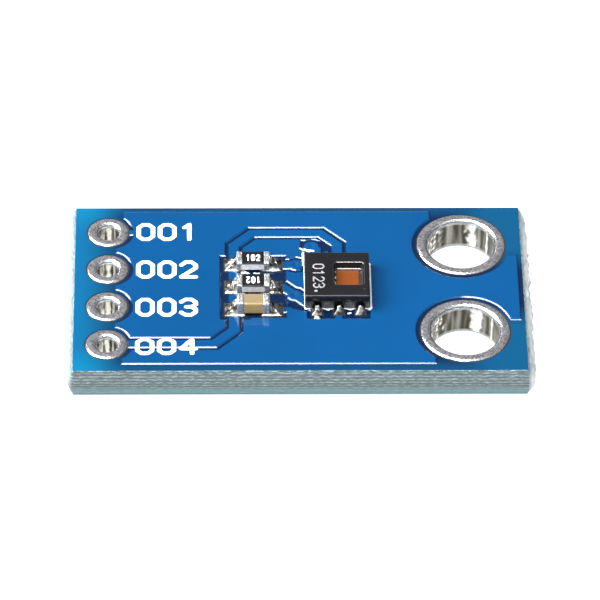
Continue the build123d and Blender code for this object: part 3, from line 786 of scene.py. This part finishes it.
capacitor_y = -1.504
# Clouds of about 0.25 mm in its colour
ceramic, tree, shader = new_material("Fired tan capacitor ceramic", Roughness=0.25, IOR=1.6)
ceramic_colour = mottled(tree, shader, 0.25, (0, "a98e57"), (1, "c1a56a"), bump=(0.3, 0.02))
# Its top and bottom are painted browner and darker than its four sides: painted shade that evens
# out the strong light on its top against the weaker light on its front
lean = add(tree, "SeparateXYZ", {"Vector": add(tree, "TexCoord").outputs["Normal"]}).outputs
top_shade_share = add(tree, "Math", {0: lean["Z"]}, operation="ABSOLUTE")
top_shade_share = add(tree, "MapRange", {"Value": top_shade_share, "From Min": 0.5, "From Max": 0.95,
                                 "To Max": 0.9})
top_shaded_ceramic = add(tree, "Mix", {"Factor": top_shade_share, "A": ceramic_colour, "B": srgb("7c6e54")},
               data_type="RGBA")
link(top_shaded_ceramic, shader.inputs["Base Color"])
points, faces = rounded_box((chip_x - 0.72, capacitor_y - 0.355, chip_seat + 0.025),
                            (chip_x + 0.72, capacitor_y + 0.355, chip_seat + 0.675), 0.08)
tumbled = new_piece("capacitor_ceramic_block", points, faces, ceramic)
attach(tumbled, "root")
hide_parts("capacitor_body")
end_caps("capacitor", capacitor_y, outer=0.755, inner=0.42, half_width=0.385, height=0.7,
         radius=0.08, lump=0.014, grain=0.25, seed=30)


# Solder -----------------------------------------------------------------------------------------
# Lead free solder, reflowed from paste. It climbs the chips' ends, runs out over the lands and
# freezes with a shrunken, lumpy skin that glints.

# Lumps of about 0.3 mm with finer frozen grains on them, and flux left in the dips
solder, tree, shader = new_material("Reflowed tin silver solder", Metallic=1.0, Roughness=0.3)
mottled(tree, shader, 0.3, (0.38, "45403a"), (0.6, "cfcdca"), roughness=0.55, bump=(0.6, 0.06))
knot_grain = 0.22
foot_edge = 0.15  # width of the foot's sloping edge
rise_start, rise_edge = 0.1, 0.14  # where the rise starts inside the outline, and its width
under_part = 0.12  # how far it runs in under the part


def fillet(name, low, high, foot, rise, wall, axis, sign, seed, lump):
    """Solder on a land: it rises towards the part's end, which is at wall along an axis, and falls
    off outwards, the way that sign says."""
    reach = abs((high[axis] if sign > 0 else low[axis]) - wall)

    def skin_height(x, y, within):
        off = ((x, y)[axis] - wall) * sign
        if off > 0:
            slope = rise * (1 - min(off / reach, 1.0)) ** 1.6
        else:
            slope = rise * max(1 + off / under_part, 0.0)
        knots = noise.fractal(Vector((x, y, seed)) / knot_grain, 1.0, 2.0, 3)
        edge = min(1.0, within / foot_edge)
        inside = min(max((within - rise_start) / rise_edge, 0.0), 1.0)
        inside = math.sqrt(inside * (2 - inside))
        low_part = foot * edge * (1 + 0.4 * lump * knots)
        return land_top + 0.004 + low_part + slope * inside * (1 + lump * knots)

    points, faces = film(block_inside(low, high, 0.05), lambda x, y: land_top - 0.004,
                         skin_height, (low[0] - 0.05, low[1] - 0.05),
                         (high[0] - low[0] + 0.1, high[1] - low[1] + 0.1), 0.03)
    piece = new_piece(name, points, faces, solder)
    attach(piece, "root")
    return piece


# Each chip's place along y, half its length, and how high the solder climbs it
chips = {
    "clock_resistor": (resistor_y["clock"], 0.76, 0.36),
    "data_resistor": (resistor_y["data"], 0.76, 0.36),
    "capacitor": (capacitor_y, 0.75, 0.4),
}
land_inner, land_outer, land_half_width = 0.36, 1.32, 0.435
for seed, (name, (y, half_length, rise)) in enumerate(chips.items(), 41):
    for side, sign in (("left", -1), ("right", 1)):
        start, end = sorted((chip_x + sign * land_inner, chip_x + sign * land_outer))
        piece = fillet(f"{name}_fillet_{side}", (start, y - land_half_width),
                       (end, y + land_half_width), 0.07, rise, chip_x + sign * half_length, 0,
                       sign, seed * 2 + sign, 0.75)
        if side == "left":
            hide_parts(f"{name}_solder")


# Sensor package ---------------------------------------------------------------------------------
# A flat package of black epoxy, moulded round a metal paddle, six leads and a silicon die. The
# mould leaves a window open over the die, with a bevelled rim and a creeping foot.

sensor_x, sensor_y = 1.76, 0.05
sensor_half = 1.5
sensor_seat, sensor_top = 1.66, 2.41
sensor_corner = 0.03
die_top = 2.03
draft = math.tan(math.radians(5))

# Silica filler gives the moulded face grains of about 0.06 mm, and a rare pale fleck
epoxy, tree, shader = new_material("Black epoxy moulding compound", Roughness=0.24, IOR=1.5)
epoxy_colour = mottled(tree, shader, 0.06, (0, "101012"), (1, "1d1c1f"), bump=(0.35, 0.01))
place = add(tree, "TexCoord").outputs["Object"]
flecks = add(tree, "TexVoronoi", {"Vector": place, "Scale": 1 / (0.3 * MM)})
fleck = add(tree, "MapRange", {"Value": flecks, "From Min": 0.12, "From Max": 0.07})
seldom = add(tree, "SeparateColor", {"Color": flecks.outputs["Color"]})
seldom = add(tree, "Math", {0: seldom, 1: 0.95}, operation="GREATER_THAN")
fleck = add(tree, "Math", {0: fleck, 1: seldom}, operation="MULTIPLY")
flecked = add(tree, "Mix", {"Factor": fleck, "A": epoxy_colour, "B": srgb("44454c")},
              data_type="RGBA")
link(flecked, shader.inputs["Base Color"])

# The mould's insert leaves the window's bevel and foot polished, with scuffs of about 0.15 mm
polished, tree, shader = new_material("Polished epoxy edge", Roughness=0.07, IOR=1.55)
mottled(tree, shader, 0.15, (0, "1c1b1d"), (1, "48474a"))


def round_loop(cx, cy, half_x, half_y, corner, z, count=256):
    """Points round a rectangle with round corners, at even turns about its middle."""
    loop = []
    for i in range(count):
        angle = 2 * math.pi * (i + 0.5) / count
        dx, dy = math.cos(angle), math.sin(angle)
        reach = min(half_x / max(abs(dx), 1e-9), half_y / max(abs(dy), 1e-9))
        ax, ay = half_x - corner, half_y - corner
        if abs(dx * reach) > ax and abs(dy * reach) > ay:
            # Where the ray meets the corner's arc
            b = abs(dx) * ax + abs(dy) * ay
            c = ax * ax + ay * ay - corner * corner
            reach = b + math.sqrt(max(b * b - c, 0.0))
        loop.append((cx + dx * reach, cy + dy * reach, z))
    return loop


def round_body(inset, corner, z):
    """A loop round the package, some way inside its outline."""
    return round_loop(sensor_x, sensor_y, sensor_half - inset, sensor_half - inset, corner, z)


def round_mouth(growth, corner, z):
    """A loop round the window, some way outside its clear mouth."""
    return round_loop(mouth_x, mouth_y, mouth_half_x + growth, mouth_half_y + growth, corner, z)


mouth_x, mouth_y = sensor_x + 0.54, sensor_y + 0.03
mouth_half_x, mouth_half_y, mouth_corner = 0.7, 0.76, 0.16
loops = [round_body(0, sensor_corner, z) for z in (sensor_seat, sensor_top - 0.06)]
loops += [round_body(off, sensor_corner + off / 2, sensor_top - drop)
          for off, drop in ((0.008, 0.035), (0.022, 0.018), (0.06, 0.0))]
bevel_band = len(loops)
loops += [round_mouth(off, mouth_corner + off, sensor_top - drop)
          for off, drop in ((0.03, 0), (0.006, 0.013), (0, 0.03))]
wall_inset = (sensor_top - die_top) * draft
loops += [round_mouth(-wall_inset - creep, mouth_corner, die_top + lift)
          for creep, lift in ((0, 0.08), (0.005, 0.04), (0.04, 0.02), (0.05, -0.02))]
foot_band = len(loops) - 3
loops += [round_mouth(0.1, mouth_corner, die_top - 0.1),
          round_body(0.1, sensor_corner, sensor_seat + 0.002), loops[0]]
around = len(loops[0])
faces = []
for k in range(len(loops) - 1):
    here, above = k * around, (k + 1) * around
    for i in range(around):
        j = (i + 1) % around
        faces.append((here + i, here + j, above + j, above + i))
package = new_piece("sensor_package", [p for loop in loops for p in loop], faces, epoxy)
package.modifiers.new("joined_rims", "WELD").merge_threshold = 0.0005 * MM
package.data.materials.append(polished)
for band in (bevel_band, foot_band):
    for face in package.data.polygons[band * around:(band + 1) * around]:
        face.material_index, face.use_smooth = 1, False
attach(package, "root")
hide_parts("sensor_body")


# Sensor die and film ----------------------------------------------------------------------------
# The silicon die at the window's floor carries its circuit under an oxide coat. The orange polymer
# film that takes up moisture was cast over it, and thins out at its edges.

# Metal lines of the circuit, drawn coarser than they are, round cells of 0.05 by 0.025 mm
die, tree, shader = new_material("Oxide coated silicon", Roughness=0.18, IOR=2.0)
place = add(tree, "TexCoord").outputs["Object"]
circuit = add(tree, "TexBrick", {
    "Vector": place, "Scale": 1 / (0.1 * MM), "Mortar Size": 0.03,
    "Color1": srgb("1b1a1c"), "Color2": srgb("2b2524"), "Mortar": srgb("4b4440"),
})
link(circuit, shader.inputs["Base Color"])
dress(["sensor_die"], die)

# Cast smooth, it is a little darker where it is thicker, over about 0.5 mm
polymer, tree, shader = new_material("Orange moisture polymer film", Roughness=0.3, IOR=1.6)
mottled(tree, shader, 0.5, (0, "69330b"), (1, "7a3f16"), detail=2.0)
film_x, film_y = sensor_x + 0.5, sensor_y + 0.015
film_low, film_high = (film_x - 0.525, film_y - 0.655), (film_x + 0.525, film_y + 0.655)
points, faces = film(block_inside(film_low, film_high, 0.06), lambda x, y: die_top - 0.002,
                     lambda x, y, within: die_top + 0.012 * min(1.0, 0.2 + within / 0.05),
                     (film_low[0] - 0.03, film_low[1] - 0.03), (1.11, 1.37), 0.03)
moisture_film = new_piece("moisture_film", points, faces, polymer)
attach(moisture_film, "root")
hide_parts("sensor_film")


# Bond wires -------------------------------------------------------------------------------------
# Gold wires were welded to the die along its left edge before moulding. Only their ends show in the
# window, under a smear of the film.

# The smear leaves patches of about 0.1 mm
gold, tree, shader = new_material("Gold bond wire", Metallic=1.0, Roughness=0.3)
mottled(tree, shader, 0.1, (0, "7c7059"), (1, "cdc3ac"), detail=2.0)
wire_ends = [[(1.66, 0.12), (1.66, 0.24)], [(1.7, 0.18), (1.72, 0.18)],
             [(1.68, 0.6), (1.7, 0.56)], [(1.67, -0.2), (1.71, -0.2)]]
points, faces = film(strokes(wire_ends, 0.026), lambda x, y: die_top,
                     lambda x, y, within: die_top + 0.03 + 1.2 * max(within, 0),
                     (1.6, -0.4), (0.2, 1.0), 0.015)
bonds = new_piece("bond_wire_ends", points, faces, gold)
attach(bonds, "root")


# Sensor leads -----------------------------------------------------------------------------------
# The paddle and six leads were stamped out of one plated sheet, and cut flush with the package
# after moulding.

# Rolling and plating leave a fine grain of about 0.08 mm
frame_metal, tree, shader = new_material("Plated lead frame", Metallic=1.0, Roughness=0.35)
mottled(tree, shader, 0.08, (0, "9b9893"), (1, "cbc8c3"), detail=2.0)
dress(["sensor_paddle", "sensor_leads"], frame_metal)


# Sensor marking ---------------------------------------------------------------------------------
# A laser burnt a plain row of digits pale into the black top, and a round dot at the corner where
# the first lead is.

# The burnt skin is rough, with grains of about 0.05 mm
marking, tree, shader = new_material("Laser marked epoxy", Roughness=0.7, IOR=1.5)
mottled(tree, shader, 0.05, (0.3, "5a595c"), (0.65, "a9a8aa"))
marking_x, marking_y = 0.67, 0.71
lines = [[(marking_x + v, marking_y - u) for u, v in line]
         for line in written("0123", 0.29, 0.48, 0.43)]
burnt_row, burnt_dot = strokes(lines, 0.036), strokes([[(0.76, -1.1), (0.77, -1.1)]], 0.07)
points, faces = film(lambda x, y: np.maximum(burnt_row(x, y), burnt_dot(x, y)),
                     lambda x, y: sensor_top - 0.002, lambda x, y, within: sensor_top + 0.003,
                     (0.55, -1.2), (0.8, 2.1), 0.02)
burnt = new_piece("sensor_marking", points, faces, marking)
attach(burnt, "root")


# Sensor joints ----------------------------------------------------------------------------------
# Solder reflowed from paste at the leads' cut ends. It stands up against the package, three joints
# along the front and three along the back, and a bead of it ran off the first one.

lead_x = (0.82, 1.82, 2.82)
joint_half_width, joint_foot, joint_rise, joint_lump = 0.23, 0.17, 0.18, 0.8
for i, x in enumerate(lead_x):
    left, right = x - joint_half_width, x + joint_half_width
    for side, sign, near, far, wall, seed in (("front", -1, -1.9, -1.4, -1.45, 60 + i),
                                              ("back", 1, 1.5, 2.0, 1.55, 65 + i)):
        joint = fillet(f"sensor_joint_{side}_{i}", (left, near), (right, far), joint_foot,
                       joint_rise, wall, 1, sign, seed, joint_lump)
        if side == "front" and i == 0:
            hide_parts("sensor_solder")
fillet("sensor_joint_bead", (0.66, -2.2), (1.02, -1.92), 0.12, 0.0, -1.9, 1, -1, 70, 0.3)
